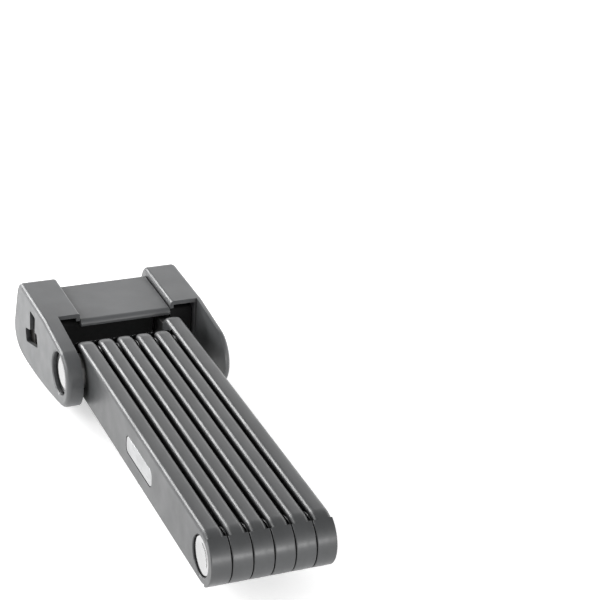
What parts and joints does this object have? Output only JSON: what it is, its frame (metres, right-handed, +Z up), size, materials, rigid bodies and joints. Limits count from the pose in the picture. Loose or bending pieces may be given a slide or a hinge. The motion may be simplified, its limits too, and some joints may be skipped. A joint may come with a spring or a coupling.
{
  "type": "folding bike lock",
  "caption": "Folding bicycle lock: covered flat steel links riveted side by side, folding out from a forked key-operated lock body.",
  "frame": {"origin": "centre of the bounding box at the underside of the lock body", "axes": "+X across the stack of links from the keyhole side, +Y along the folded links towards the lock body, +Z up"},
  "size_m": [0.071, 0.2198, 0.0333],
  "materials": {
    "link_cover": "satin, fine grained",
    "body_cover": "satin",
    "bar_steel": "hardened, brushed",
    "rivet_steel": "polished",
    "washer_steel": "ground",
    "label": "plain silver-white, no marking",
    "housing_steel": "black coated",
    "cylinder_brass": "blackened, machined",
    "bolt_steel": "ground"
  },
  "bodies": {
    "lock_body": {"lock_housing": "housing_steel", "left_cover": "body_cover", "right_cover": "body_cover", "barrel_cover": "body_cover", "cylinder_body": "cylinder_brass", "cylinder_pin": "washer_steel", "rivet_body_1": "rivet_steel", "washer_body_1": "washer_steel"},
    "link_1": {"link_1_core": "bar_steel", "link_1_cover": "link_cover", "rivet_1_2": "rivet_steel", "washer_1_2": "washer_steel", "label_plate": "label"},
    "link_2": {"link_2_core": "bar_steel", "link_2_cover": "link_cover", "rivet_2_3": "rivet_steel", "washer_2_3": "washer_steel"},
    "link_3": {"link_3_core": "bar_steel", "link_3_cover": "link_cover", "rivet_3_4": "rivet_steel", "washer_3_4": "washer_steel"},
    "link_4": {"link_4_core": "bar_steel", "link_4_cover": "link_cover", "rivet_4_5": "rivet_steel", "washer_4_5": "washer_steel"},
    "link_5": {"link_5_core": "bar_steel", "link_5_cover": "link_cover", "rivet_5_6": "rivet_steel", "washer_5_6": "washer_steel"},
    "link_6": {"link_6_core": "bar_steel", "link_6_cover": "link_cover"},
    "key_plug": {"key_plug": "cylinder_brass", "drive_cam": "washer_steel"},
    "locking_bolt": {"locking_bolt": "bolt_steel"}
  },
  "joints": [
    {"name": "fold_1", "type": "hinge", "parent": "lock_body", "child": "link_1", "pos_m": [-0.0267, 0.04355, 0.0198], "axis": [1, 0, 0], "range_deg": [-105, 0]},
    {"name": "fold_2", "type": "hinge", "parent": "link_1", "child": "link_2", "pos_m": [-0.0184, -0.09845, 0.0198], "axis": [1, 0, 0], "range_deg": [-170, 0]},
    {"name": "fold_3", "type": "hinge", "parent": "link_2", "child": "link_3", "pos_m": [-0.0102, 0.04355, 0.0198], "axis": [1, 0, 0], "range_deg": [-105, 0]},
    {"name": "fold_4", "type": "hinge", "parent": "link_3", "child": "link_4", "pos_m": [-0.002, -0.09845, 0.0198], "axis": [1, 0, 0], "range_deg": [-170, 0]},
    {"name": "fold_5", "type": "hinge", "parent": "link_4", "child": "link_5", "pos_m": [0.0062, 0.04355, 0.0198], "axis": [1, 0, 0], "range_deg": [-105, 0]},
    {"name": "fold_6", "type": "hinge", "parent": "link_5", "child": "link_6", "pos_m": [0.0144, -0.09845, 0.0198], "axis": [1, 0, 0], "range_deg": [-170, 0]},
    {"name": "plug_turn", "type": "hinge", "parent": "lock_body", "child": "key_plug", "pos_m": [-0.03345, 0.08255, 0.0178], "axis": [1, 0, 0], "range_deg": [0, 90]},
    {"name": "bolt_slide", "type": "slide", "parent": "lock_body", "child": "locking_bolt", "axis": [1, 0, 0], "range_m": [0, 0.011]}
  ],
  "couplings": [
    {"joint": "bolt_slide", "follows": "plug_turn", "m_per_rad": 0.0070028}
  ]
}
